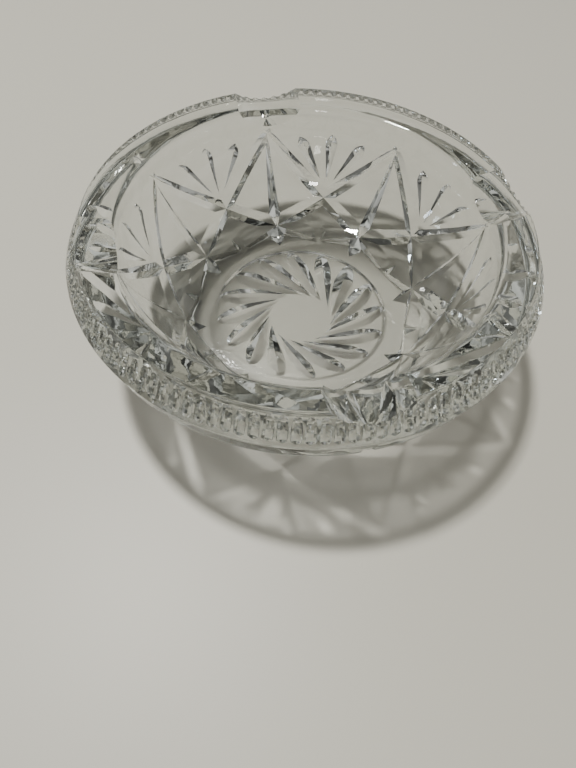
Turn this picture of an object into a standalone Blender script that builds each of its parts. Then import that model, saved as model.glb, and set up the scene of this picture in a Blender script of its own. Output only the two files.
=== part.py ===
"""A heavy cut-glass ashtray in one solid piece of clear glass. Blender 4.5, metres, +Z up.

The origin is at the middle of the resting plane and +Z is the turning axis. A turned blank is cut by
wheels, as a glass cutter does it: four rests across the rim, short flutes round the edge, crossing
mitre cuts with fans of leaves on the outside wall, an eight-sided foot, and a pinwheel underneath.
"""
import math

import bmesh
import bpy
from mathutils import Matrix, Vector

# --- driving dimensions of the blank -------------------------------------------------------------
HEIGHT = 0.076            # resting plane to the rim's outer edge
RIM_RADIUS = 0.093        # outer edge of the rim
RIM_WIDTH = 0.0125        # rim, measured across
RIM_FALL = 0.0035         # how far the rim's top falls towards the bowl
RIM_ROUNDING = 0.0025     # rounding where the rim turns down into the bowl
BOWL_DEPTH = 0.050        # rim's outer edge to the edge of the bowl's floor
BOWL_ROUNDING = 0.050     # fillet between the bowl's wall and floor
BOWL_WALL_ANGLE = math.radians(80.0)
FLOOR_DISH = 0.0015       # how far the floor's middle lies below its edge
BAND_HEIGHT = 0.0130      # fluted band, from the rim's outer edge down
BAND_FLARE = 0.0070       # how far the band spreads beyond the rim
BAND_LIP = 0.0013         # small step under the band
CORNER_OUT = 0.0010       # rounded corner between the lip and the shoulder, outside the shoulder
CORNER_SHARE = 0.45       # its height, as a share of the way up from the shoulder to the lip
SHOULDER_GAP = 0.0115     # under the widest ring, down to where the slanted wall begins
SHOULDER_INSET = 0.0028   # how far that place lies inside the widest ring
FOOT_RADIUS = 0.0590      # foot before its eight sides are cut
FOOT_HEIGHT = 0.0080      # resting plane to where the slanted wall meets the foot
FOOT_BEVEL = 0.0065       # how far that place lies outside the foot
FOOT_INSET = 0.0025       # how far the middle of each side is cut inside that radius
FOOT_SIDE_ANGLE = math.radians(42.0)
FOOT_RING = 0.0122        # width of the ring that it rests on, outside the shallow recess
RECESS_DEPTH = 0.0010

# --- driving dimensions of the cutting ----------------------------------------------------------
PANELS = 8                # peaks, stars and fans round the wall
REST_COUNT = 4
REST_WIDTH = 0.029
REST_DEPTH = 0.0062
REST_OVERHANG = 0.0120    # how far a rest's cutter runs past the band and past the rim's inner edge
FLUTE_COUNT = 128
FLUTE_DEPTH = 0.0009
FLUTE_LAND = 0.0005       # plain glass left between two flutes
FLUTE_MARGIN = 0.0013     # plain glass left above and below the flutes
MITRE_DEPTH = 0.0034      # slanting mitre cuts, where they meet over the foot
MITRE_HALF_ANGLE = math.radians(58.0)
PEAK_SPLIT = math.radians(0.15)   # angle between the spine and each slanting cut at their peak
SPINE_OFFSET = 0.00012    # upright cuts sit this far to one side, so that no three edges share a line
SPINE_LIFT = 0.0004       # the upright cuts start this far off the shoulder
SPINE_HALF_ANGLE = math.radians(36.0)
SPINE_REACH = 0.0070      # how far the upright cuts run on to the foot's flat
LEAF_DEPTH = 0.0014
LEAF_HALF_ANGLE = math.radians(56.0)
LEAF_SPREAD = math.radians(11.4)
LEAF_FOOT = 0.53          # where the middle leaf starts, as a share of the way down the wall
LEAF_FOOT_SPLIT = 0.16    # outer leaves start this share of LEAF_SPREAD from the middle one
LEAF_FOOT_RISE = 0.03     # outer leaves start this share of the wall higher up
LEAF_TIP_RISE = 0.02      # middle leaves end this share of the wall above the shoulder
LEAF_TIP_DROP = 0.055     # outer leaves end this share of the wall below the middle one
PETAL_COUNT = 16
PETAL_DEPTH = 0.0028
PETAL_WIDTH = 0.0088
PETAL_MARGIN = 0.0018     # recess edge to the petals' tips
EYE_RADIUS = 0.0152       # plain round left in the middle of the pinwheel
PETAL_TURN = math.radians(-4.3)

SEGMENTS = 64             # sides of every turned surface
CLEAR = 0.0006            # how far a cutter stands out of the glass beside its cut
SHELL = 0.0040            # how far a cutter's back stands out of the glass
POINT_MERGE = 0.000001

# --- places that follow from the dimensions ---------------------------------------------------------
CREASE = Vector((RIM_RADIUS, HEIGHT))
WIDEST = CREASE + Vector((BAND_FLARE, -BAND_HEIGHT))
SHOULDER = WIDEST - Vector((SHOULDER_INSET, SHOULDER_GAP))
BASE = Vector((FOOT_RADIUS + FOOT_BEVEL, FOOT_HEIGHT))
RECESS_RADIUS = FOOT_RADIUS - FOOT_RING
WALL = BASE - SHOULDER
WALL_LENGTH = WALL.length
WALL_DOWN = WALL / WALL_LENGTH
WALL_OUT = Vector((-WALL_DOWN.y, WALL_DOWN.x))
WALL_TAPER = (SHOULDER.x - BASE.x) / WALL_LENGTH
APEX_DISTANCE = SHOULDER.x / WALL_TAPER
PANEL_ANGLE = 2.0 * math.pi / PANELS


def arc(centre, radius, start, end, steps):
    """Points of an arc in the profile's plane, angles measured from the downward direction."""
    angles = [start + (end - start) * k / steps for k in range(steps + 1)]
    return [centre + radius * Vector((math.sin(a), -math.cos(a))) for a in angles]


def bowl_profile():
    """Inside of the bowl from its middle up to the rim: a dished floor, one big fillet, a steep wall."""
    edge = CREASE - Vector((RIM_WIDTH, RIM_FALL))
    floor = HEIGHT - BOWL_DEPTH
    room = edge.y - floor
    rounding = min(BOWL_ROUNDING, 0.95 * room / (1.0 - math.cos(BOWL_WALL_ANGLE)))
    middle = edge.x - (room - rounding) / math.tan(BOWL_WALL_ANGLE) - rounding / math.sin(BOWL_WALL_ANGLE)
    points = [Vector((0.0, floor - FLOOR_DISH)), Vector((0.55 * middle, floor - 0.7 * FLOOR_DISH))]
    points += arc(Vector((middle, floor + rounding)), rounding, 0.0, BOWL_WALL_ANGLE, 8)
    return points + rounded_corner(points[-1], edge, CREASE, RIM_ROUNDING, 3)


def rounded_corner(before, corner, after, radius, steps):
    """The corner between two straight stretches, replaced by an arc that touches both."""
    to_before = (before - corner).normalized()
    to_after = (after - corner).normalized()
    half = to_before.angle(to_after) / 2.0
    setback = min(radius / math.tan(half), 0.9 * (before - corner).length)
    start, end = corner + to_before * setback, corner + to_after * setback
    points = []
    for k in range(steps + 1):
        share = k / steps
        points.append((1 - share) ** 2 * start + 2 * share * (1 - share) * corner + share ** 2 * end)
    return points


def outside_profile():
    """Outside from the rim's edge down: flared band, small lip, rounded shoulder, slanted wall, foot."""
    under = WIDEST + Vector((-BAND_LIP, -BAND_LIP))
    corner = Vector((SHOULDER.x + CORNER_OUT, SHOULDER.y + CORNER_SHARE * (under.y - SHOULDER.y)))
    foot = [Vector((FOOT_RADIUS, 0.0)), Vector((RECESS_RADIUS, 0.0))]
    recess = [Vector((RECESS_RADIUS - RECESS_DEPTH, RECESS_DEPTH)), Vector((0.0, RECESS_DEPTH))]
    return [CREASE, WIDEST, under, corner, SHOULDER, BASE] + foot + recess


def clear_scene():
    for item in list(bpy.data.objects):
        bpy.data.objects.remove(item, do_unlink=True)


def new_collection(name):
    collection = bpy.data.collections.new(name)
    bpy.context.scene.collection.children.link(collection)
    return collection


def clear_glass():
    material = bpy.data.materials.new("clear_glass")
    material.use_nodes = True
    shader = material.node_tree.nodes["Principled BSDF"]
    shader.inputs["Base Color"].default_value = (0.93, 0.95, 0.94, 1.0)
    shader.inputs["Roughness"].default_value = 0.02
    shader.inputs["Metallic"].default_value = 0.0
    shader.inputs["IOR"].default_value = 1.52
    shader.inputs["Transmission Weight"].default_value = 1.0
    return material


def turned_blank(collection):
    """The uncut piece: one closed profile turned about +Z, half a side round so that no edge of it
    lies under a cut's middle line."""
    bm = bmesh.new()
    previous = None
    for point in bowl_profile() + outside_profile():
        vertex = bm.verts.new((point.x, 0.0, point.y))
        if previous:
            bm.edges.new((previous, vertex))
        previous = vertex
    bmesh.ops.rotate(bm, verts=bm.verts, matrix=half_side_turn())
    mesh = bpy.data.meshes.new("glass_ashtray")
    bm.to_mesh(mesh)
    bm.free()
    blank = bpy.data.objects.new("glass_ashtray", mesh)
    collection.objects.link(blank)
    screw = blank.modifiers.new("turn", "SCREW")
    screw.steps = SEGMENTS
    screw.render_steps = SEGMENTS
    screw.use_merge_vertices = True
    screw.merge_threshold = POINT_MERGE
    screw.use_smooth_shade = True
    return blank


def half_side_turn():
    return Matrix.Rotation(math.pi / SEGMENTS, 3, "Z")


def cutter_object(name, bm, collection):
    bmesh.ops.recalc_face_normals(bm, faces=bm.faces)
    mesh = bpy.data.meshes.new(name)
    bm.to_mesh(mesh)
    bm.free()
    cutter = bpy.data.objects.new(name, mesh)
    cutter.hide_render = True
    cutter.display_type = "WIRE"
    collection.objects.link(cutter)
    return cutter


def add_boolean(target, cutter, operation="DIFFERENCE", solver="EXACT"):
    modifier = target.modifiers.new(cutter.name, "BOOLEAN")
    modifier.operation = operation
    modifier.solver = solver
    modifier.object = cutter


def add_bar(bm, stations, place):
    """Add a bar with four edges: its cutting edge, its two sides and its back.

    Each station is (along, deep, left, right, side_level, back_level). place turns (along, across,
    level) into a point of the model, where level 0 is the glass and a cut goes to a negative level.
    Stations whose four points fall together close to a point.
    """
    half = (len(stations) - 1) / 2.0
    bar = bmesh.new()
    bmesh.ops.create_cone(bar, cap_ends=True, cap_tris=False, segments=4, radius1=1.0, radius2=1.0,
                          depth=2.0 * half)
    for k in range(1, len(stations) - 1):
        bmesh.ops.bisect_plane(bar, geom=bar.verts[:] + bar.edges[:] + bar.faces[:],
                               plane_co=(0.0, 0.0, k - half), plane_no=(0.0, 0.0, 1.0))
    for vertex in bar.verts:
        along, deep, left, right, side_level, back_level = stations[round(vertex.co.z + half)]
        if vertex.co.x > 0.5:
            vertex.co = place(along, right, side_level)
        elif vertex.co.x < -0.5:
            vertex.co = place(along, -left, side_level)
        elif vertex.co.y > 0.5:
            vertex.co = place(along, 0.0, back_level)
        else:
            vertex.co = place(along, 0.0, -deep)
    bmesh.ops.remove_doubles(bar, verts=bar.verts, dist=POINT_MERGE)
    bmesh.ops.triangulate(bar, faces=bar.faces)
    piece = bpy.data.meshes.new("bar")
    bar.to_mesh(piece)
    bar.free()
    bm.from_mesh(piece)
    bpy.data.meshes.remove(piece)


def wheel_station(along, depth, left_angle, right_angle, share):
    """One station of a mitre wheel's cut, with share going from 0 at a point to 1 at full depth."""
    reach = (depth + CLEAR) * share
    return (along, reach - CLEAR, reach * math.tan(left_angle), reach * math.tan(right_angle), CLEAR,
            CLEAR + SHELL * share)


def wall_point(angle, down, level):
    """A point of the slanted wall, down it from the shoulder, with level measured straight out of it."""
    flat = SHOULDER + WALL_DOWN * down + WALL_OUT * level
    return Vector((flat.x * math.cos(angle), flat.x * math.sin(angle), flat.y))


def wall_path(start, end):
    """A place function for a cut that follows the wall by the shortest way between two places on it.

    The wall is a cone, so the way is a straight line on the cone laid out flat about its apex, with
    angles counted from the start. start and end are (angle, down).
    """
    def laid_out(angle, down):
        distance = APEX_DISTANCE - down
        turned = (angle - start[0]) * WALL_TAPER
        return Vector((distance * math.sin(turned), distance * math.cos(turned)))

    first, last = laid_out(*start), laid_out(*end)
    forward = (last - first).normalized()
    sideways = Vector((-forward.y, forward.x))
    length = (last - first).length

    def place(along, across, level):
        spot = first + forward * (along * length) + sideways * across
        angle = start[0] + math.atan2(spot.x, spot.y) / WALL_TAPER
        return wall_point(angle, APEX_DISTANCE - spot.length, level)
    return place


def mitre_cuts(collection, lean):
    """Slanting mitre cuts from each peak to the next star, growing deeper and wider on the way."""
    bm = bmesh.new()
    shares = [(-0.03, 0.0), (0.12, 0.34), (0.3, 0.5), (0.5, 0.62), (0.7, 0.76), (0.85, 0.88), (1.0, 1.0),
              (1.3, 1.2)]
    stations = [wheel_station(t, MITRE_DEPTH, MITRE_HALF_ANGLE, MITRE_HALF_ANGLE, s) for t, s in shares]
    for panel in range(PANELS):
        peak = panel * PANEL_ANGLE
        start = (peak + lean * PEAK_SPLIT, 0.0)
        add_bar(bm, stations, wall_path(start, (peak + lean * PANEL_ANGLE, WALL_LENGTH)))
    return cutter_object("mitre_cuts_left" if lean < 0 else "mitre_cuts_right", bm, collection)


def spine_cuts(collection):
    """Upright cuts from each peak through the star below it, ending on the foot's flat."""
    bm = bmesh.new()
    top = SHOULDER + SPINE_LIFT * WALL_OUT
    bottom = Vector((FOOT_RADIUS - SPINE_REACH, 0.0))
    line = bottom - top
    out = Vector((-line.y, line.x)).normalized()
    if out.x < 0:
        out = -out
    depth = abs((BASE - top).dot(out))
    spread = math.tan(SPINE_HALF_ANGLE)
    for panel in range(PANELS):
        angle = panel * PANEL_ANGLE

        def place(along, across, level):
            flat = top + line * along + out * level
            radial = Vector((math.cos(angle), math.sin(angle), 0.0))
            around = Vector((-math.sin(angle), math.cos(angle), 0.0))
            return radial * flat.x + around * (across + SPINE_OFFSET) + Vector((0.0, 0.0, flat.y))

        side = depth + CLEAR
        stations = [(-0.02, 0.0, side * spread, side * spread, side, side + SHELL),
                    (1.0, 0.0, side * spread, side * spread, side, side + SHELL),
                    (1.25, -0.4 * side, 0.6 * side * spread, 0.6 * side * spread, side, side + SHELL)]
        add_bar(bm, stations, place)
    return cutter_object("spine_cuts", bm, collection)


def leaf_cuts(collection, lean):
    """One leaf of every fan: pointed at the foot of the fan and blunt at its tip."""
    bm = bmesh.new()
    shares = [(0.0, 0.0), (0.3, 0.45), (0.6, 0.8), (0.8, 1.0), (0.92, 0.85), (1.0, 0.0)]
    stations = [wheel_station(t, LEAF_DEPTH, LEAF_HALF_ANGLE, LEAF_HALF_ANGLE, s) for t, s in shares]
    for panel in range(PANELS):
        middle = (panel + 0.5) * PANEL_ANGLE
        foot = (middle + LEAF_FOOT_SPLIT * lean * LEAF_SPREAD,
                (LEAF_FOOT - LEAF_FOOT_RISE * abs(lean)) * WALL_LENGTH)
        tip = (middle + lean * LEAF_SPREAD, (LEAF_TIP_DROP * abs(lean) - LEAF_TIP_RISE) * WALL_LENGTH)
        add_bar(bm, stations, wall_path(foot, tip))
    names = {-1: "leaf_cuts_left", 0: "leaf_cuts_middle", 1: "leaf_cuts_right"}
    return cutter_object(names[lean], bm, collection)


def petal_cuts(collection, first):
    """Every second petal of the pinwheel. A petal's middle line runs past the plain eye and touches it,
    so that all petals lean the same way."""
    bm = bmesh.new()
    tip_radius = RECESS_RADIUS - RECESS_DEPTH - PETAL_MARGIN
    length = math.sqrt(tip_radius ** 2 - EYE_RADIUS ** 2)
    tip_angle = math.atan2(EYE_RADIUS, length)
    shares = [(0.06, 0.0, 0.0), (0.25, 0.45, 0.4), (0.5, 0.85, 0.85), (0.72, 1.0, 1.0), (0.9, 0.75, 0.72),
              (1.0, 0.0, 0.0)]
    reach = PETAL_DEPTH + CLEAR
    for petal in range(first, PETAL_COUNT, 2):
        turn = PETAL_TURN + petal * 2.0 * math.pi / PETAL_COUNT + tip_angle
        forward = Vector((math.cos(turn), math.sin(turn), 0.0))
        ahead = Vector((-forward.y, forward.x, 0.0))

        def place(along, across, level):
            flat = forward * (along * length) - ahead * (EYE_RADIUS + across)
            return flat + Vector((0.0, 0.0, RECESS_DEPTH - level))

        half_width = PETAL_WIDTH / 2.0
        stations = [(along, reach * deep - CLEAR, half_width * wide, half_width * wide, CLEAR,
                     CLEAR + SHELL * deep) for along, deep, wide in shares]
        add_bar(bm, stations, place)
    return cutter_object("petal_cuts_%d" % first, bm, collection)


def flute_cuts(collection):
    """Short hollow flutes side by side round the band, leaning with it."""
    bm = bmesh.new()
    slope = WIDEST - CREASE
    outward = Vector((-slope.y, slope.x)).normalized()
    length = slope.length - 2.0 * FLUTE_MARGIN
    middle = (CREASE + WIDEST) / 2.0
    pitch = 2.0 * math.pi * middle.x / FLUTE_COUNT
    width = (pitch - FLUTE_LAND) / 2.0
    stations = [(along, FLUTE_DEPTH, width, width, CLEAR, SHELL) for along in (-0.5, 0.5)]
    for flute in range(FLUTE_COUNT):
        angle = (flute + 0.5) * 2.0 * math.pi / FLUTE_COUNT
        radial = Vector((math.cos(angle), math.sin(angle), 0.0))
        around = Vector((-math.sin(angle), math.cos(angle), 0.0))

        def place(along, across, level):
            flat = middle + slope.normalized() * (along * length) + outward * level
            taper = flat.x / middle.x
            return radial * flat.x + around * (across * taper) + Vector((0.0, 0.0, flat.y))

        add_bar(bm, stations, place)
    return cutter_object("flute_cuts", bm, collection)


def rest_cuts(collection):
    """Four round scoops across the rim, each leaning with the rim's top."""
    bm = bmesh.new()
    lean = math.atan2(RIM_FALL, RIM_WIDTH)
    radius = (REST_WIDTH ** 2 / 4.0 + REST_DEPTH ** 2) / (2.0 * REST_DEPTH)
    length = RIM_WIDTH + BAND_FLARE + 2.0 * REST_OVERHANG
    for rest in range(REST_COUNT):
        turn = Matrix.Rotation(rest * 2.0 * math.pi / REST_COUNT, 4, "Z")
        tip = Matrix.Rotation(math.pi / 2.0 - lean, 4, "Y")
        place = Matrix.Translation((RIM_RADIUS, 0.0, HEIGHT - REST_DEPTH + radius))
        inward = Matrix.Translation((0.0, 0.0, (BAND_FLARE - RIM_WIDTH) / 2.0))
        bmesh.ops.create_cone(bm, cap_ends=True, cap_tris=False, segments=64, radius1=radius,
                              radius2=radius, depth=length, matrix=turn @ place @ tip @ inward)
    return cutter_object("rest_cuts", bm, collection)


def foot_sides(collection):
    """An eight-sided cup that keeps what lies inside it, so that the foot has eight flat sides."""
    bm = bmesh.new()
    flat_to_corner = 1.0 / math.cos(PANEL_ANGLE / 2.0)
    bottom = FOOT_RADIUS - FOOT_INSET
    tall = 2.0 * HEIGHT
    drop = 0.5 * RECESS_DEPTH
    low = bottom - drop / math.tan(FOOT_SIDE_ANGLE)
    high = bottom + tall / math.tan(FOOT_SIDE_ANGLE)
    bmesh.ops.create_cone(bm, cap_ends=True, cap_tris=False, segments=PANELS,
                          radius1=low * flat_to_corner, radius2=high * flat_to_corner, depth=tall + drop,
                          matrix=Matrix.Translation((0.0, 0.0, (tall - drop) / 2.0)))
    return cutter_object("foot_sides", bm, collection)


def main():
    clear_scene()
    parts = new_collection("glass_ashtray")
    cutters = new_collection("cutters")
    piece = turned_blank(parts)
    piece.data.materials.append(clear_glass())
    add_boolean(piece, foot_sides(cutters), "INTERSECT")
    add_boolean(piece, rest_cuts(cutters))
    add_boolean(piece, flute_cuts(cutters))
    for lean in (-1, 0, 1):
        add_boolean(piece, leaf_cuts(cutters, lean))
    for lean in (-1, 1):
        add_boolean(piece, mitre_cuts(cutters, lean), solver="MANIFOLD")
    add_boolean(piece, spine_cuts(cutters), solver="MANIFOLD")
    for first in (0, 1):
        add_boolean(piece, petal_cuts(cutters, first), solver="MANIFOLD")


main()
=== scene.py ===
# A heavy cut-glass ashtray on a pale counter: one lump of clear glass, turned and then cut with wheels.
# Metres, +Z up, the resting plane at z = 0 and the turning axis on z.
import math
import bpy
import numpy as np
from mathutils import Matrix, Vector


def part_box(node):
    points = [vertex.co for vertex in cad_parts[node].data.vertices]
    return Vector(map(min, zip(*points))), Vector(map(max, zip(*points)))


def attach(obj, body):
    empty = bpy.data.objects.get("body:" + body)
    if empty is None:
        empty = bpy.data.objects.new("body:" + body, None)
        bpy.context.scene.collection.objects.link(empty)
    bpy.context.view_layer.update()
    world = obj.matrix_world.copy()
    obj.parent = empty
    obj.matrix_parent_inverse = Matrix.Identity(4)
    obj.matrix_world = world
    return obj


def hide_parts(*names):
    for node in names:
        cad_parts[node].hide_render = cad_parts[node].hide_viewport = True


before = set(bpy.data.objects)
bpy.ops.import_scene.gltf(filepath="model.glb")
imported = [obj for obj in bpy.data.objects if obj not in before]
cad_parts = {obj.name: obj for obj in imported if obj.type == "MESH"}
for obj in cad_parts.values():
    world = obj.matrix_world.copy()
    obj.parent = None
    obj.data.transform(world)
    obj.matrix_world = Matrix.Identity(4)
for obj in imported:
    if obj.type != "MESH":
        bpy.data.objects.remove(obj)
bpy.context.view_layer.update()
nodeName = "glass_ashtray"
low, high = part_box(nodeName)
print("frame loaded:", [round(v, 4) for v in (*low, *high)])

fullTurn = 2.0 * math.pi

# the turned blank; radii hang on the frame's widest radius and heights on its top
blank = {
    "height": high.z,
    "widest": high.x,
    "bandFlare": 0.0070,      # how far the band's widest ring stands outside the rim's edge
    "bandHeight": 0.0130,
    "edgeRounding": 0.00045,  # fire-polished edge between rim and band
    "lipRounding": 0.0004,
    "beadRounding": 0.0005,
    "neckRounding": 0.0018,
    "shoulderRounding": 0.0022,
    "rimWidth": 0.0125,
    "rimFall": 0.0035,        # the rim's top falls towards the bowl
    "rimRounding": 0.0030,
    "bowlDepth": 0.050,
    "bowlRounding": 0.050,    # fillet between the bowl's wall and floor
    "filletMost": 0.95,       # most of the wall's height that the fillet may take up
    "bowlWallAngle": math.radians(80.0),
    "floorDish": 0.0015,
    "lipDrop": 0.0017,
    "lipInset": 0.0013,
    "beadInset": 0.1,         # the bead under the lip, as shares of lipInset and lipDrop
    "beadDrop": 0.7,
    "neckOut": 0.0004,        # how far the neck stands outside the shoulder
    "neckDrop": 0.002,        # how far it lies under the lip
    "shoulderInset": 0.0028,  # widest radius to the top of the slanted wall
    "shoulderDrop": 0.0245,
    "baseRadius": 0.0655,
    "baseDrop": 0.0680,
    "footRadius": 0.0590,
    "footInset": 0.0025,
    "footSideAngle": math.radians(42.0),
    "footRounding": 0.0006,
    "recessRadius": 0.0468,
    "recessDepth": 0.0010,
    "recessRamp": 0.0042,     # width of the soft step up into the recess
    "sides": 320,
}


def arcPoints(centre, radius, start, end, steps):
    # round stretch: centre plus radius times (sine, minus cosine) of the angle from straight down
    angle = np.linspace(start, end, steps + 1)
    return np.stack([centre[0] + radius * np.sin(angle), centre[1] - radius * np.cos(angle)], axis=1)


def cornerPoints(before, corner, after, setback, steps):
    # corner rounding: a quadratic curve from one side to the other with the corner as its middle handle
    corner = np.asarray(corner, float)
    start = corner + setback * (before - corner) / np.linalg.norm(before - corner)
    end = corner + setback * (after - corner) / np.linalg.norm(after - corner)
    share = np.linspace(0.0, 1.0, steps + 1)[:, None]
    return (1 - share) ** 2 * start + 2 * share * (1 - share) * corner + share ** 2 * end


def spread(start, end, steps):
    # straight stretch cut into equal steps
    share = np.linspace(0.0, 1.0, steps + 1)[:, None]
    return (1 - share) * np.asarray(start, float) + share * np.asarray(end, float)


rimRadius = blank["widest"] - blank["bandFlare"]
crease = np.array([rimRadius, blank["height"]])
rimInner = crease + np.array([-blank["rimWidth"], -blank["rimFall"]])
widest = np.array([blank["widest"], blank["height"] - blank["bandHeight"]])
shoulder = np.array([blank["widest"] - blank["shoulderInset"], blank["height"] - blank["shoulderDrop"]])
base = np.array([blank["baseRadius"], blank["height"] - blank["baseDrop"]])
footEdge = np.array([blank["footRadius"], 0.0])
bowlFloor = blank["height"] - blank["bowlDepth"]


def blankRuns():
    # the closed profile from the bowl's middle over the rim and down to the middle of the recess, as
    # smooth runs: the surface is smooth along a run and has an edge between two runs
    rise = rimInner[1] - bowlFloor
    wallAngle = blank["bowlWallAngle"]
    most = blank["filletMost"] * rise / (1.0 - math.cos(wallAngle))
    rounding = min(blank["bowlRounding"], most)
    middle = rimInner[0] - (rise - rounding) / math.tan(wallAngle) - rounding / math.sin(wallAngle)
    share = np.linspace(0.0, 1.0, 9)
    # the floor's dish is half a wave from its middle to its edge
    dish = bowlFloor - blank["floorDish"] * (1.0 + np.cos(math.pi * share)) / 2.0
    floor = np.stack([share * middle, dish], axis=1)
    wall = arcPoints((middle, bowlFloor + rounding), rounding, 0.0, wallAngle, 22)
    rim = cornerPoints(wall[-1], rimInner, crease, blank["rimRounding"], 7)
    edge = cornerPoints(rimInner, crease, widest, blank["edgeRounding"], 3)
    lip = widest + np.array([-blank["lipInset"], -blank["lipDrop"]])
    lipRound = cornerPoints(edge[-1], widest, lip, blank["lipRounding"], 3)
    beadInset = blank["beadInset"] * blank["lipInset"]
    beadDrop = blank["beadDrop"] * blank["lipDrop"]
    beadEdge = widest + np.array([-beadInset, -beadDrop])
    bead = cornerPoints(crease, beadEdge, lip, blank["beadRounding"], 3)
    neckEdge = np.array([shoulder[0] + blank["neckOut"], lip[1] - blank["neckDrop"]])
    neck = cornerPoints(lip, neckEdge, shoulder, blank["neckRounding"], 5)
    turn = cornerPoints(neck[-1], shoulder, base, blank["shoulderRounding"], 6)
    inside = np.concatenate([floor[:-1], wall, rim, spread(rim[-1], edge[0], 3)[1:-1], edge])
    band = np.concatenate([spread(edge[-1], lipRound[0], 10)[:-1], lipRound])
    side = np.concatenate([bead, neck, turn, spread(turn[-1], base, 14)[1:]])
    foot = cornerPoints(base, footEdge, np.zeros(2), blank["footRounding"], 3)
    bevel = np.concatenate([spread(base, foot[0], 4)[:-1], foot])
    recessEdge = np.array([blank["recessRadius"], 0.0])
    ring = spread(foot[-1], recessEdge, 3)
    # the step up into the recess is half a wave too
    stepHeight = blank["recessDepth"] * (1.0 - np.cos(math.pi * share)) / 2.0
    step = np.stack([recessEdge[0] - blank["recessRamp"] * share, stepHeight], axis=1)
    under = spread(step[-1], np.array([0.0, blank["recessDepth"]]), 12)
    return [inside, band, side, bevel, ring, np.concatenate([step, under[1:]])]


def meshFrom(name, points, quads, triangles):
    # a mesh from point and face arrays; its faces are turned outwards by the sign of its volume
    faces = [tuple(f) for f in quads.tolist()] + [tuple(f) for f in triangles.tolist()]
    mesh = bpy.data.meshes.new(name)
    mesh.from_pydata(points.tolist(), [], faces)
    mesh.calc_loop_triangles()
    corners = np.empty(len(mesh.loop_triangles) * 3, np.int32)
    mesh.loop_triangles.foreach_get("vertices", corners)
    first, second, third = points[corners].reshape(-1, 3, 3).transpose(1, 0, 2)
    if np.einsum("ij,ij->", first, np.cross(second, third)) < 0.0:
        mesh.flip_normals()
    return mesh


def turnedMesh(name, profile, sides):
    # surface of revolution: point = (r cos u, r sin u, z), closed by one point at each end on the axis
    angle = fullTurn * np.arange(sides) / sides
    body = profile[1:-1]
    radius = body[:, 0][:, None]
    height = np.repeat(body[:, 1][:, None], sides, axis=1)
    grid = np.stack([radius * np.cos(angle), radius * np.sin(angle), height], axis=2)
    rings = len(body)
    index = np.arange(rings * sides).reshape(rings, sides)
    ahead = np.roll(index, -1, axis=1)
    quads = np.stack([index[:-1], ahead[:-1], ahead[1:], index[1:]], axis=2).reshape(-1, 4)
    points = np.concatenate([grid.reshape(-1, 3), [[0, 0, profile[0, 1]], [0, 0, profile[-1, 1]]]])
    top = np.full(sides, rings * sides)
    topFan = np.stack([top, ahead[0], index[0]], axis=1)
    bottomFan = np.stack([top + 1, index[-1], ahead[-1]], axis=1)
    return meshFrom(name, points, quads, np.concatenate([topFan, bottomFan]))


def barMesh(name, bars):
    # closed bars: bars is (copies, stations, around, 3), and a bar's first and last stations are points
    copies, stations, around, _ = bars.shape
    body = bars[:, 1:-1]
    rings = stations - 2
    index = np.arange(copies * rings * around).reshape(copies, rings, around)
    ahead = np.roll(index, -1, axis=2)
    quads = np.stack([index[:, :-1], ahead[:, :-1], ahead[:, 1:], index[:, 1:]], axis=3)
    heads = np.repeat((index.size + np.arange(copies))[:, None], around, axis=1)
    tails = heads + copies
    headFans = np.stack([heads, ahead[:, 0], index[:, 0]], axis=2)
    tailFans = np.stack([tails, index[:, -1], ahead[:, -1]], axis=2)
    fans = np.concatenate([headFans, tailFans]).reshape(-1, 3)
    points = np.concatenate([body.reshape(-1, 3), bars[:, 0, 0], bars[:, -1, 0]])
    return meshFrom(name, points, quads.reshape(-1, 4), fans)


# the wheel cuts; a cut's depth is measured into the glass and its half angle from that direction
cuts = {
    "panels": 8,
    "clear": 0.0006,          # a cutter stands this far out of the glass beside its cut
    "shell": 0.0040,          # and its back stands this far out
    "mitreDepth": 0.0044,     # where the slanting cuts reach the end of the wall
    "mitreHalfAngle": math.radians(51.0),
    "peakSplit": math.radians(0.15),  # between an upright cut and each slanting one at their peak
    "spineHalfAngle": math.radians(36.0),
    "spineSink": 0.0009,      # depth of the upright cuts where they cross the shoulder
    "spineOffset": 0.00012,   # to one side, so that no three edges share a line
    "spineReach": 0.0070,     # how far they run on to the foot's flat
    "spineLead": 0.13,        # how far the cutter starts before its cut, as a share of its length,
    "spineTail": 0.25,        # and how far it runs on behind it
    "spineNarrowing": 1.6,    # how fast it narrows there
    "spineClimb": 0.4,        # and how far it has climbed at its end, as a share of its depth
    "leafDepth": 0.0029,
    "leafHalfAngle": math.radians(49.0),
    "leafSpread": math.radians(11.4),
    "leafFoot": 0.53,         # where the middle leaf starts, as a share of the way down the wall
    "leafFootSplit": 0.16,    # the outer leaves start this share of leafSpread from the middle one
    "leafFootRise": 0.03,     # and this share of the wall higher up
    "leafTipRise": 0.02,      # the middle leaf ends this share of the wall above the shoulder
    "leafTipDrop": 0.055,     # and the outer ones this share lower
    "flutes": 128,
    "fluteRadius": 0.0025,
    "fluteDepth": 0.00115,
    "fluteArc": 0.92,         # share of the rod's half turn that does the cutting
    "fluteMargin": 0.0011,
    "rests": 4,
    "restWidth": 0.029,
    "restDepth": 0.0062,
    "restOverhang": 0.012,    # how far a rest's cutter runs past the band and past the rim's inner edge
    "restSides": 120,
    "petals": 16,
    "petalDepth": 0.0030,
    "petalWidth": 0.0112,
    "petalMargin": 0.0012,
    "eyeRadius": 0.0152,
    "petalTurn": math.radians(-4.3),
    "cup": (-0.001, 0.16),    # heights of the cup that shapes the foot: under it and far over the rim
}
panelAngle = fullTurn / cuts["panels"]
wallLine = base - shoulder
wallLength = float(np.linalg.norm(wallLine))
wallDown = wallLine / wallLength
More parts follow.
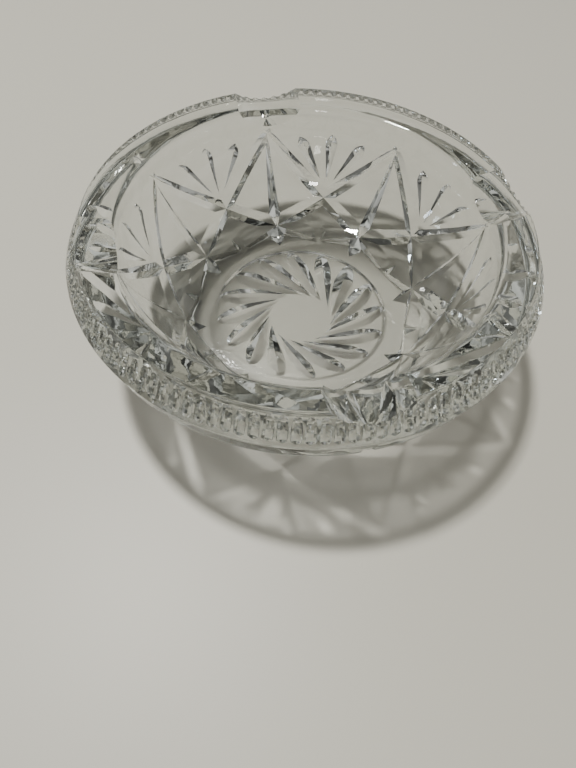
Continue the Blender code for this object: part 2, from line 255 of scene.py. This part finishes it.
wallOut = np.array([-wallDown[1], wallDown[0]])
wallTaper = (shoulder[0] - base[0]) / wallLength
apexDistance = shoulder[0] / wallTaper


def wheelSection(depth, width, side, back):
    # corners of a mitre wheel's section as (across, level): cutting edge, one side, back, other side
    zero = np.zeros_like(depth)
    across = np.stack([zero, width, zero, -width], axis=-1)
    level = np.stack([-depth, side, back, side], axis=-1)
    return across, level


def vSection(share, depth, halfAngle):
    # a V whose depth follows share, so that its width on the glass does too
    reach = (depth + cuts["clear"]) * share
    width = reach * math.tan(halfAngle)
    clear = np.full_like(share, cuts["clear"])
    return wheelSection(reach - cuts["clear"], width, clear, cuts["clear"] + cuts["shell"] * share)


def alongWall(start, end, share, across, level):
    # places (share of the way, across, level) on the slanted wall along the shortest way from start to
    # end. The wall is a cone: laid out flat about its apex, a place (angle, down) has the distance apex
    # minus down and the bearing angle times the taper, and the shortest way is a straight line there
    def laidOut(angle, down):
        distance = apexDistance - down
        turned = (angle - start[0]) * wallTaper
        return np.array([distance * math.sin(turned), distance * math.cos(turned)])

    first, last = laidOut(*start), laidOut(*end)
    forward = (last - first) / np.linalg.norm(last - first)
    sideways = np.array([-forward[1], forward[0]])
    length = np.linalg.norm(last - first)
    spot = first + (share * length)[:, None, None] * forward + across[..., None] * sideways
    angle = start[0] + np.arctan2(spot[..., 0], spot[..., 1]) / wallTaper
    down = apexDistance - np.linalg.norm(spot, axis=-1)
    flat = shoulder + down[..., None] * wallDown + level[..., None] * wallOut
    return np.stack([flat[..., 0] * np.cos(angle), flat[..., 0] * np.sin(angle), flat[..., 1]], axis=-1)


def mitreBars(lean):
    # slanting cuts from each peak through the neighbouring cut to the next star, deeper on the way: the
    # wheel enters on a round and then follows a steady slope
    share = np.linspace(-0.15, 1.3, 28)
    way = np.array([-0.15, -0.10, 0.0, 0.12, 0.3, 0.5, 0.7, 0.85, 1.0, 1.3])
    deep = np.interp(share, way, [0.0, 0.40, 0.58, 0.62, 0.67, 0.74, 0.83, 0.91, 1.0, 1.2])
    across, level = vSection(deep, cuts["mitreDepth"], cuts["mitreHalfAngle"])
    bars = []
    for panel in range(cuts["panels"]):
        peak = panel * panelAngle
        start = (peak + lean * cuts["peakSplit"], 0.0)
        end = (peak + lean * panelAngle, wallLength)
        bars.append(alongWall(start, end, share, across, level))
    return np.stack(bars)


def leafBars(lean):
    # one leaf of every fan: a V that swells slowly from its foot and ends in a short pointed arch
    share = np.concatenate([np.linspace(0.0, 0.7, 10), np.linspace(0.74, 1.0, 9)])
    way = [0.0, 0.16, 0.37, 0.58, 0.754, 0.825, 0.912, 0.96, 1.0]
    deep = np.interp(share, way, [0.0, 0.32, 0.56, 0.80, 1.0, 0.97, 0.68, 0.38, 0.0])
    across, level = vSection(deep, cuts["leafDepth"], cuts["leafHalfAngle"])
    bars = []
    for panel in range(cuts["panels"]):
        middle = (panel + 0.5) * panelAngle
        footAngle = middle + cuts["leafFootSplit"] * lean * cuts["leafSpread"]
        footDown = (cuts["leafFoot"] - cuts["leafFootRise"] * abs(lean)) * wallLength
        tipDown = (cuts["leafTipDrop"] * abs(lean) - cuts["leafTipRise"]) * wallLength
        tip = (middle + lean * cuts["leafSpread"], tipDown)
        bars.append(alongWall((footAngle, footDown), tip, share, across, level))
    return np.stack(bars)


def aroundAxis(flat, sideways, angles):
    # turns points given as (radius, height) with a sideways distance to each angle about the axis
    cosine, sine = np.cos(angles)[:, None, None], np.sin(angles)[:, None, None]
    x = flat[..., 0] * cosine - sideways * sine
    y = flat[..., 0] * sine + sideways * cosine
    z = np.broadcast_to(flat[..., 1], x.shape)
    return np.stack([x, y, z], axis=-1)


def spineBars():
    # upright cuts: a straight V from just over the shoulder through the star to the foot's flat, where
    # it narrows and climbs out of the glass
    top = shoulder - cuts["spineSink"] * wallOut
    bottom = np.array([blank["footRadius"] - cuts["spineReach"], 0.0])
    line = bottom - top
    out = np.array([-line[1], line[0]]) / np.linalg.norm(line)
    out = out if out[0] > 0 else -out
    lead, tail = cuts["spineLead"], cuts["spineTail"]
    share = np.concatenate([[-lead], np.linspace(0.01 - lead, 1.0, 12), [1.12, 1.0 + tail]])
    depth = abs(float((base - top) @ out)) + cuts["clear"]
    fade = np.where(share > 1.0, 1.0 - cuts["spineNarrowing"] * (share - 1.0), 1.0)
    fade[0] = 0.0
    width = depth * math.tan(cuts["spineHalfAngle"]) * fade
    deep = np.where(share > 1.0, -cuts["spineClimb"] * depth * (share - 1.0) / tail, 0.0)
    back = depth + cuts["shell"] * fade
    across, level = wheelSection(deep, width, np.full_like(share, depth), back)
    flat = top + share[:, None, None] * line + level[..., None] * out
    return aroundAxis(flat, across + cuts["spineOffset"], panelAngle * np.arange(cuts["panels"]))


def petalBars():
    # leaf-shaped cuts of the pinwheel: the middle line of each passes the plain eye and touches it
    tipRadius = blank["recessRadius"] - blank["recessDepth"] - cuts["petalMargin"]
    length = math.sqrt(tipRadius ** 2 - cuts["eyeRadius"] ** 2)
    share = np.linspace(0.04, 1.0, 22)
    way = [0.04, 0.25, 0.5, 0.72, 0.9, 0.97, 1.0]
    swell = np.interp(share, way, [0.0, 0.42, 0.85, 1.0, 0.74, 0.42, 0.0])
    depth = (cuts["petalDepth"] + cuts["clear"]) * swell - cuts["clear"]
    clear = np.full_like(share, cuts["clear"])
    back = cuts["clear"] + cuts["shell"] * swell
    across, level = wheelSection(depth, cuts["petalWidth"] / 2.0 * swell, clear, back)
    step = fullTurn * np.arange(cuts["petals"]) / cuts["petals"]
    turn = cuts["petalTurn"] + step + math.atan2(cuts["eyeRadius"], length)
    forward = np.stack([np.cos(turn), np.sin(turn)], axis=1)[:, None, None, :]
    ahead = np.stack([-np.sin(turn), np.cos(turn)], axis=1)[:, None, None, :]
    outwards = (share * length)[None, :, None, None]
    aside = (cuts["eyeRadius"] + across)[None, :, :, None]
    flat = forward * outwards - ahead * aside
    height = np.broadcast_to(blank["recessDepth"] - level, flat.shape[:-1])
    return np.concatenate([flat, height[..., None]], axis=-1)


def fluteBars():
    # hollow flutes: a round rod sunk into the band, deepest two thirds of the way down
    slope = widest - crease
    out = np.array([-slope[1], slope[0]]) / np.linalg.norm(slope)
    out = out if out[0] > 0 else -out
    length = np.linalg.norm(slope) - 2.0 * cuts["fluteMargin"]
    share = np.linspace(0.0, 1.0, 9)
    way = [0.0, 0.2, 0.45, 0.7, 0.9, 1.0]
    deep = cuts["fluteDepth"] * np.interp(share, way, [0.0, 0.55, 0.88, 1.0, 0.7, 0.0])
    radius = cuts["fluteRadius"]
    turns = np.linspace(-math.pi / 2.0, math.pi / 2.0, 9) * cuts["fluteArc"]
    inner = np.where((share > 0) & (share < 1), 1.0, 0.0)  # both ends close to a point
    across = radius * np.sin(turns)[None, :] * inner[:, None]
    level = radius * (1.0 - np.cos(turns))[None, :] - deep[:, None]
    across = np.concatenate([across, np.zeros((len(share), 1))], axis=1)
    level = np.concatenate([level, np.full((len(share), 1), cuts["clear"] + radius)], axis=1)
    level[0] = level[-1] = cuts["clear"]
    along = cuts["fluteMargin"] + share * length
    flat = crease + (along[:, None, None] / np.linalg.norm(slope)) * slope + level[..., None] * out
    taper = flat[..., 0] / ((crease[0] + widest[0]) / 2.0)
    angles = fullTurn * (np.arange(cuts["flutes"]) + 0.5) / cuts["flutes"]
    return aroundAxis(flat, across * taper, angles)


def restBars():
    # round scoops across the rim: a rod leaning inwards with the rim's top
    radius = (cuts["restWidth"] ** 2 / 4.0 + cuts["restDepth"] ** 2) / (2.0 * cuts["restDepth"])
    lean = math.atan2(blank["rimFall"], blank["rimWidth"])
    around = fullTurn * np.arange(cuts["restSides"]) / cuts["restSides"]
    ends = np.array([-1.0, -1.0, 1.0, 1.0])
    reach = ends * (blank["rimWidth"] + blank["bandFlare"]) / 2.0
    reach += ends * cuts["restOverhang"] + (blank["bandFlare"] - blank["rimWidth"]) / 2.0
    size = np.array([0.0, 1.0, 1.0, 0.0])  # both ends close to a point
    axisPoint = np.array([rimRadius, blank["height"] - cuts["restDepth"] + radius])
    forward = np.array([math.cos(lean), math.sin(lean)])
    upward = np.array([-math.sin(lean), math.cos(lean)])
    across = radius * size[:, None] * np.sin(around)[None, :]
    level = radius * size[:, None] * np.cos(around)[None, :]
    flat = axisPoint + reach[:, None, None] * forward + level[..., None] * upward
    return aroundAxis(flat, across, fullTurn * np.arange(cuts["rests"]) / cuts["rests"])


def footBars():
    # an eight-sided cup that keeps what lies inside it, so that the foot has eight flat sides
    corner = 1.0 / math.cos(panelAngle / 2.0)
    middle = blank["footRadius"] - blank["footInset"]
    slope = 1.0 / math.tan(blank["footSideAngle"])
    heights = np.repeat(cuts["cup"], 2)
    radii = (middle + heights * slope) * corner * np.array([0.0, 1.0, 1.0, 0.0])
    angles = panelAngle * np.arange(cuts["panels"])
    x = radii[:, None] * np.cos(angles)
    y = radii[:, None] * np.sin(angles)
    z = np.repeat(heights[:, None], cuts["panels"], axis=1)
    return np.stack([x, y, z], axis=2)[None]


def cutGlass():
    # turns the blank, then takes each set of cutters out of it
    runs = blankRuns()
    profile = np.concatenate([runs[0]] + [run[1:] for run in runs[1:]])
    gaps = np.linalg.norm(np.diff(profile, axis=0), axis=1)
    profile = profile[np.concatenate([[True], gaps > 1e-7])]
    blankMesh = turnedMesh("cut_glass_ashtray", profile, blank["sides"])
    piece = bpy.data.objects.new("cut_glass_ashtray", blankMesh)
    bpy.context.scene.collection.objects.link(piece)
    print("blank turned:", len(piece.data.vertices), "points")
    petals = petalBars()
    # bars that overlap each other go into separate steps
    steps = [
        ("footSides", footBars()), ("rests", restBars()), ("flutes", fluteBars()),
        ("leavesLeft", leafBars(-1)), ("leavesMiddle", leafBars(0)), ("leavesRight", leafBars(1)),
        ("mitresLeft", mitreBars(-1)), ("mitresRight", mitreBars(1)), ("spines", spineBars()),
        ("petalsEven", petals[0::2]), ("petalsOdd", petals[1::2]),
    ]
    for name, bars in steps:
        cutter = bpy.data.objects.new(name, barMesh(name, bars))
        bpy.context.scene.collection.objects.link(cutter)
        cut = piece.modifiers.new(name, "BOOLEAN")
        cut.operation = "INTERSECT" if name == "footSides" else "DIFFERENCE"
        cut.solver = "MANIFOLD"
        cut.object = cutter
        bpy.context.view_layer.update()
        graph = bpy.context.evaluated_depsgraph_get()
        result = bpy.data.meshes.new_from_object(piece.evaluated_get(graph))
        piece.modifiers.remove(cut)
        finished = [piece.data, cutter.data]
        piece.data = result
        bpy.data.objects.remove(cutter)
        for mesh in finished:
            bpy.data.meshes.remove(mesh)
        print("cut", name, len(result.vertices), "points", len(result.polygons), "faces")
    piece.data.name = "cut_glass_ashtray"
    return piece, runs


def runNormals(run):
    # outward direction at each point of a run: across the chord between its neighbours
    along = np.gradient(run, axis=0)
    along /= np.linalg.norm(along, axis=1)[:, None]
    return np.stack([-along[:, 1], along[:, 0]], axis=1)


polishing = {
    "edgeAngle": math.radians(20.0),   # cut faces that meet at more than this have an edge between them
    "nearProfile": 0.000045,           # a face this near the profile everywhere still is a turned one,
    "agreeAngle": math.radians(9.0),   # if it also faces the profile's way within this angle
}


def polish(piece, runs):
    # turned faces get the true normals of their profile; cut faces are smooth along each cut
    mesh = piece.data
    mesh.polygons.foreach_set("use_smooth", np.ones(len(mesh.polygons), bool))
    mesh.set_sharp_from_angle(angle=polishing["edgeAngle"])
    count = len(mesh.loops)

    def fetch(source, name, width, kind):
        values = np.empty(len(source) * width, kind)
        source.foreach_get(name, values)
        return values.reshape(-1, width) if width > 1 else values

    normals = fetch(mesh.corner_normals, "vector", 3, np.float32)
    places = fetch(mesh.vertices, "co", 3, np.float32)
    owner = fetch(mesh.loops, "vertex_index", 1, np.int32)
    starts = fetch(mesh.polygons, "loop_start", 1, np.int32)
    totals = fetch(mesh.polygons, "loop_total", 1, np.int32)
    facing = fetch(mesh.polygons, "normal", 3, np.float32)
    spots = places[owner].astype(float)
    radius = np.hypot(spots[:, 0], spots[:, 1])
    bearing = spots[:, :2] / np.maximum(radius, 1e-9)[:, None]
    flat = np.stack([radius, spots[:, 2]], axis=1)
    faceOf = np.repeat(np.arange(len(starts)), totals)
    best = np.full(len(starts), polishing["nearProfile"])
    chosen = normals.copy()
    for run in runs:
        ends, spans = run[:-1], np.diff(run, axis=0)
        lengths = (spans ** 2).sum(1)
        keep = lengths > 1e-14
        ends, spans, lengths = ends[keep], spans[keep], lengths[keep]
        directions = runNormals(run)
        first, last = directions[:-1][keep], directions[1:][keep]
        away = np.full(count, np.inf)
        where = np.zeros((count, 2))
        for end, span, size, one, two in zip(ends, spans, lengths, first, last):
            share = np.clip(((flat - end) @ span) / size, 0.0, 1.0)
            gap = np.linalg.norm(flat - end - share[:, None] * span, axis=1)
            closer = gap < away
            away[closer] = gap[closer]
            where[closer] = (1 - share[closer])[:, None] * one + share[closer][:, None] * two
        where /= np.maximum(np.linalg.norm(where, axis=1), 1e-9)[:, None]
        true = np.concatenate([bearing * where[:, :1], where[:, 1:]], axis=1)
        worst = np.maximum.reduceat(away, starts)
        agree = np.minimum.reduceat((true * facing[faceOf]).sum(1), starts)
        turned = (worst < best) & (agree > math.cos(polishing["agreeAngle"]))
        best[turned] = worst[turned]
        mine = turned[faceOf]
        chosen[mine] = true[mine]
    mesh.normals_split_custom_set(chosen.tolist())
    turnedCount = int((best < polishing["nearProfile"]).sum())
    print("polished:", turnedCount, "turned faces of", len(starts))


glass = {
    "tint": (0.875, 0.885, 0.868, 1.0),
    "ior": 1.52,
    "absorbColour": (0.50, 0.54, 0.49, 1.0),
    "absorbDensity": 4.5,
    "swellScale": 95.0,       # slow unevenness left by fire polishing, features about 10 mm across
    "swell": 0.75,
    "rippleScale": 420.0,     # finer ripple, about 2.5 mm
    "ripple": 0.05,
    "bumpDistance": 0.00022,
    "polish": 0.0,            # roughness of the clean glass
    "smudge": 0.035,          # what finger marks and dust add in patches
    "smudgeScale": 38.0,
    "smudgeFrom": (0.52, 0.78),   # noise values between which a patch fades in
    "wear": 0.16,             # what scratches add where it stands and where ash was put out
    "wearScale": 850.0,
    "wearFrom": (0.54, 0.66),
    "standingHeight": 0.0003,     # glass below this height touches the counter
    "bowlMiddle": 0.4,        # worn part of the bowl's floor, as a share of its dish
    "lateBounce": 2.5,        # mirror bounces after which a ray goes straight on
    # share of a lamp's light that a face lets straight through, by its tilt to that light (0 square,
    # 1 edge on); the narrow light stretch lets glints through the steep cuts
    "passing": [
        (0.06, 1.0), (0.12, 0.66), (0.20, 0.34), (0.28, 0.15), (0.32, 0.95), (0.36, 0.14), (0.6, 0.08),
    ],
}


def addNode(tree, kind, place, **settings):
    # a new node at a place in the node editor
    node = tree.nodes.new(kind)
    node.location = place
    for name, value in settings.items():
        setattr(node, name, value)
    return node


def mathNode(tree, operation, place, first, second):
    # a Math node fed by sockets or plain numbers
    node = addNode(tree, "ShaderNodeMath", place, operation=operation)
    for socket, source in zip(node.inputs, (first, second)):
        if isinstance(source, (int, float)):
            socket.default_value = source
        else:
            tree.links.new(source, socket)
    return node.outputs[0]


def polishGroup():
    # uneven fire polish, smudges and wear: puts out a height for a Bump node and a roughness that vary
    tree = bpy.data.node_groups.new("firePolish", "ShaderNodeTree")
    face = tree.interface
    face.new_socket("Vector", in_out="INPUT", socket_type="NodeSocketVector")
    for name in ("Swell Scale", "Swell", "Ripple Scale", "Ripple", "Polish", "Smudge", "Wear"):
        face.new_socket(name, in_out="INPUT", socket_type="NodeSocketFloat")
    face.new_socket("Height", in_out="OUTPUT", socket_type="NodeSocketFloat")
    face.new_socket("Roughness", in_out="OUTPUT", socket_type="NodeSocketFloat")
    given = addNode(tree, "NodeGroupInput", (-900, 0)).outputs
    result = addNode(tree, "NodeGroupOutput", (700, 0)).inputs

    def noise(scale, detail, place):
        node = addNode(tree, "ShaderNodeTexNoise", place)
        node.inputs["Detail"].default_value = detail
        tree.links.new(given["Vector"], node.inputs["Vector"])
        if isinstance(scale, float):
            node.inputs["Scale"].default_value = scale
        else:
            tree.links.new(scale, node.inputs["Scale"])
        return node.outputs["Fac"]

    def patches(source, fromRange, place):
        # 0 to 1 where the noise is high
        node = addNode(tree, "ShaderNodeMapRange", place)
        node.inputs["From Min"].default_value = fromRange[0]
        node.inputs["From Max"].default_value = fromRange[1]
        tree.links.new(source, node.inputs["Value"])
        return node.outputs[0]

    swellNoise = noise(given["Swell Scale"], 1.0, (-600, 300))
    swell = mathNode(tree, "MULTIPLY", (-300, 300), swellNoise, given["Swell"])
    rippleNoise = noise(given["Ripple Scale"], 2.0, (-600, 100))
    ripple = mathNode(tree, "MULTIPLY", (-300, 100), rippleNoise, given["Ripple"])
    tree.links.new(mathNode(tree, "ADD", (0, 200), swell, ripple), result["Height"])
    smudgeNoise = noise(glass["smudgeScale"], 3.0, (-600, -100))
    patch = patches(smudgeNoise, glass["smudgeFrom"], (-300, -100))
    smudge = mathNode(tree, "MULTIPLY", (0, -100), patch, given["Smudge"])
    # tiny dull specks where it stands and in the middle of the bowl's floor
    wearNoise = noise(glass["wearScale"], 2.0, (-600, -400))
    specks = patches(wearNoise, glass["wearFrom"], (-300, -400))
    place = addNode(tree, "ShaderNodeSeparateXYZ", (-600, -650))
    tree.links.new(given["Vector"], place.inputs[0])
    height = place.outputs["Z"]
    standing = mathNode(tree, "LESS_THAN", (-300, -650), height, glass["standingHeight"])
    middle = addNode(tree, "ShaderNodeMath", (-300, -850), operation="COMPARE")
    middle.inputs[1].default_value = bowlFloor - blank["floorDish"]
    middle.inputs[2].default_value = glass["bowlMiddle"] * blank["floorDish"]
    tree.links.new(height, middle.inputs[0])
    worn = mathNode(tree, "MAXIMUM", (-100, -700), standing, middle.outputs[0])
    speckled = mathNode(tree, "MULTIPLY", (0, -500), specks, worn)
    wear = mathNode(tree, "MULTIPLY", (100, -500), speckled, given["Wear"])
    marks = mathNode(tree, "ADD", (200, -200), smudge, wear)
    total = mathNode(tree, "ADD", (300, -300), marks, given["Polish"])
    tree.links.new(total, result["Roughness"])
    return tree


def clearGlass():
    material = bpy.data.materials.new("clear_glass")
    material.use_nodes = True
    tree = material.node_tree
    links = tree.links
    shader = tree.nodes["Principled BSDF"]
    shader.inputs["Base Color"].default_value = glass["tint"]
    shader.inputs["IOR"].default_value = glass["ior"]
    shader.inputs["Transmission Weight"].default_value = 1.0
    where = addNode(tree, "ShaderNodeTexCoord", (-1100, 0))
    surface = addNode(tree, "ShaderNodeGroup", (-800, 0), node_tree=polishGroup())
    links.new(where.outputs["Object"], surface.inputs["Vector"])
    surface.inputs["Swell Scale"].default_value = glass["swellScale"]
    surface.inputs["Ripple Scale"].default_value = glass["rippleScale"]
    for name in ("Swell", "Ripple", "Polish", "Smudge", "Wear"):
        surface.inputs[name].default_value = glass[name.lower()]
    bump = addNode(tree, "ShaderNodeBump", (-500, -200))
    bump.inputs["Distance"].default_value = glass["bumpDistance"]
    links.new(surface.outputs["Height"], bump.inputs["Height"])
    links.new(bump.outputs["Normal"], shader.inputs["Normal"])
    links.new(surface.outputs["Roughness"], shader.inputs["Roughness"])
    output = tree.nodes["Material Output"]
    absorb = addNode(tree, "ShaderNodeVolumeAbsorption", (300, -300))
    absorb.inputs["Color"].default_value = glass["absorbColour"]
    absorb.inputs["Density"].default_value = glass["absorbDensity"]
    links.new(absorb.outputs["Volume"], output.inputs["Volume"])
    # a ray that has mirrored inside the glass several times goes straight on and doesn't end black
    path = addNode(tree, "ShaderNodeLightPath", (-500, 500))
    bounces = path.outputs["Glossy Depth"]
    late = mathNode(tree, "GREATER_THAN", (-200, 500), bounces, glass["lateBounce"])
    straight = addNode(tree, "ShaderNodeBsdfTransparent", (0, -200))
    inside = addNode(tree, "ShaderNodeMixShader", (250, 200))
    links.new(late, inside.inputs[0])
    links.new(shader.outputs[0], inside.inputs[1])
    links.new(straight.outputs[0], inside.inputs[2])
    # on its way from a lamp to the counter, light goes through a face that it meets squarely and is
    # mostly lost at a tilted one
    tilt = addNode(tree, "ShaderNodeLayerWeight", (-500, -500))
    tilt.inputs["Blend"].default_value = 0.5
    fall = addNode(tree, "ShaderNodeValToRGB", (-250, -500))
    passing = glass["passing"]
    while len(fall.color_ramp.elements) < len(passing):
        fall.color_ramp.elements.new(1.0)
    for element, (turned, share) in zip(fall.color_ramp.elements, passing):
        element.position = turned
        element.color = (share, share, share, 1.0)
    links.new(tilt.outputs["Facing"], fall.inputs["Fac"])
    passed = addNode(tree, "ShaderNodeBsdfTransparent", (50, -500))
    links.new(fall.outputs["Color"], passed.inputs["Color"])
    shadowRay, diffuseRay = path.outputs["Is Shadow Ray"], path.outputs["Is Diffuse Ray"]
    lamp = mathNode(tree, "MAXIMUM", (250, 500), shadowRay, diffuseRay)
    lit = addNode(tree, "ShaderNodeMixShader", (500, 0))
    links.new(lamp, lit.inputs[0])
    links.new(inside.outputs[0], lit.inputs[1])
    links.new(passed.outputs[0], lit.inputs[2])
    links.new(lit.outputs[0], output.inputs["Surface"])
    return material


glassPiece, turnedRuns = cutGlass()
polish(glassPiece, turnedRuns)
glassPiece.data.materials.clear()
glassPiece.data.materials.append(clearGlass())
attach(glassPiece, "root")
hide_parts(nodeName)


# the counter, the lights, the room round them and the camera
stage = {
    "floorSize": 14.0,
    "floorDrop": 0.0002,      # under the foot, so that the two faces don't share a plane
    "floorColour": (0.60, 0.58, 0.50, 1.0),
    "floorRoughness": 0.45,
    "cameraPlace": Vector((-0.05356, -0.17908, 0.23539)),
    "cameraRight": Vector((0.97652, -0.21241, 0.03594)),
    "cameraUp": Vector((0.15894, 0.82297, 0.54540)),
    "cameraBack": Vector((-0.14543, -0.52688, 0.83741)),
    "lens": 27.05,
    "sensorWidth": 36.0,
    "clipStart": 0.01,
}

# area lamps: where each stands, what it points at, width, height, watts and colour
lamps = {
    "ceiling_panel": ((-0.36, 0.42, 1.92), (0, 0, 0.03), 0.16, 0.16, 40.0, (1.0, 0.985, 0.95)),
    "window_left": ((-1.9, 0.5, 0.8), (0, 0, 0.03), 0.10, 0.4, 3.0, (0.80, 0.90, 1.0)),
    "lamp_front": ((-0.25, -0.75, 1.10), (-0.05, -0.20, 0), 0.12, 0.12, 2.5, (1.0, 0.98, 0.94)),
}

# soft light all round: white cards low down with darker gaps between them, dim overhead
room = {
    "low": (0.30, (0.50, 0.50, 0.475, 1.0)),    # a height in the room and its colour
    "high": (0.80, (0.07, 0.07, 0.066, 1.0)),
    "cardScale": 3.2,
    "cardFrom": (0.42, 0.58),                   # noise values and the strengths they turn into
    "cardTo": (0.35, 1.7),
    "backdrop": (0.50, 0.49, 0.455, 1.0),       # what the camera sees behind the counter
}


def makeFloor():
    size = stage["floorSize"]
    corners = [(-size, -size, 0), (size, -size, 0), (size, size, 0), (-size, size, 0)]
    mesh = bpy.data.meshes.new("counter")
    mesh.from_pydata(corners, [], [(0, 1, 2, 3)])
    floor = bpy.data.objects.new("counter", mesh)
    bpy.context.scene.collection.objects.link(floor)
    material = bpy.data.materials.new("counter")
    material.use_nodes = True
    shader = material.node_tree.nodes["Principled BSDF"]
    shader.inputs["Base Color"].default_value = stage["floorColour"]
    shader.inputs["Roughness"].default_value = stage["floorRoughness"]
    mesh.materials.append(material)
    floor.location.z = -stage["floorDrop"]


def softLight(name, place, target, width, height, watts, colour):
    lamp = bpy.data.lights.new(name, "AREA")
    lamp.shape = "RECTANGLE"
    lamp.size = width
    lamp.size_y = height
    lamp.energy = watts
    lamp.color = colour
    light = bpy.data.objects.new(name, lamp)
    light.location = place
    light.rotation_euler = (Vector(target) - Vector(place)).to_track_quat("-Z", "Y").to_euler()
    bpy.context.scene.collection.objects.link(light)


def makeCamera():
    camera = bpy.data.objects.new("camera", bpy.data.cameras.new("camera"))
    bpy.context.scene.collection.objects.link(camera)
    camera.data.lens = stage["lens"]
    camera.data.sensor_width = stage["sensorWidth"]
    camera.data.clip_start = stage["clipStart"]
    columns = [stage[name] for name in ("cameraRight", "cameraUp", "cameraBack", "cameraPlace")]
    camera.matrix_world = Matrix([[v[k] for v in columns] for k in range(3)] + [[0, 0, 0, 1]])
    bpy.context.scene.camera = camera


def makeRoom():
    world = bpy.data.worlds.new("room")
    bpy.context.scene.world = world
    world.use_nodes = True
    tree = world.node_tree
    links = tree.links
    where = addNode(tree, "ShaderNodeTexCoord", (-1000, 0))
    split = addNode(tree, "ShaderNodeSeparateXYZ", (-800, 200))
    links.new(where.outputs["Generated"], split.inputs[0])
    height = addNode(tree, "ShaderNodeValToRGB", (-600, 200))
    for element, name in zip(height.color_ramp.elements, ("low", "high")):
        element.position, element.color = room[name]
    links.new(split.outputs["Z"], height.inputs["Fac"])
    cards = addNode(tree, "ShaderNodeTexNoise", (-800, -200))
    cards.inputs["Scale"].default_value = room["cardScale"]
    cards.inputs["Detail"].default_value = 1.0
    links.new(where.outputs["Generated"], cards.inputs["Vector"])
    gaps = addNode(tree, "ShaderNodeMapRange", (-600, -200))
    gaps.inputs["From Min"].default_value = room["cardFrom"][0]
    gaps.inputs["From Max"].default_value = room["cardFrom"][1]
    gaps.inputs["To Min"].default_value = room["cardTo"][0]
    gaps.inputs["To Max"].default_value = room["cardTo"][1]
    links.new(cards.outputs["Fac"], gaps.inputs["Value"])
    cardLight = tree.nodes["Background"]
    links.new(height.outputs["Color"], cardLight.inputs["Color"])
    links.new(gaps.outputs[0], cardLight.inputs["Strength"])
    plain = addNode(tree, "ShaderNodeBackground", (0, -300))
    plain.inputs["Color"].default_value = room["backdrop"]
    path = addNode(tree, "ShaderNodeLightPath", (0, 400))
    seen = addNode(tree, "ShaderNodeMixShader", (250, 0))
    links.new(path.outputs["Is Camera Ray"], seen.inputs[0])
    links.new(cardLight.outputs[0], seen.inputs[1])
    links.new(plain.outputs[0], seen.inputs[2])
    links.new(seen.outputs[0], tree.nodes["World Output"].inputs["Surface"])


makeFloor()
makeCamera()
for lampName, lampSettings in lamps.items():
    softLight(lampName, *lampSettings)
makeRoom()
print("stage set:", len(lamps), "lamps")
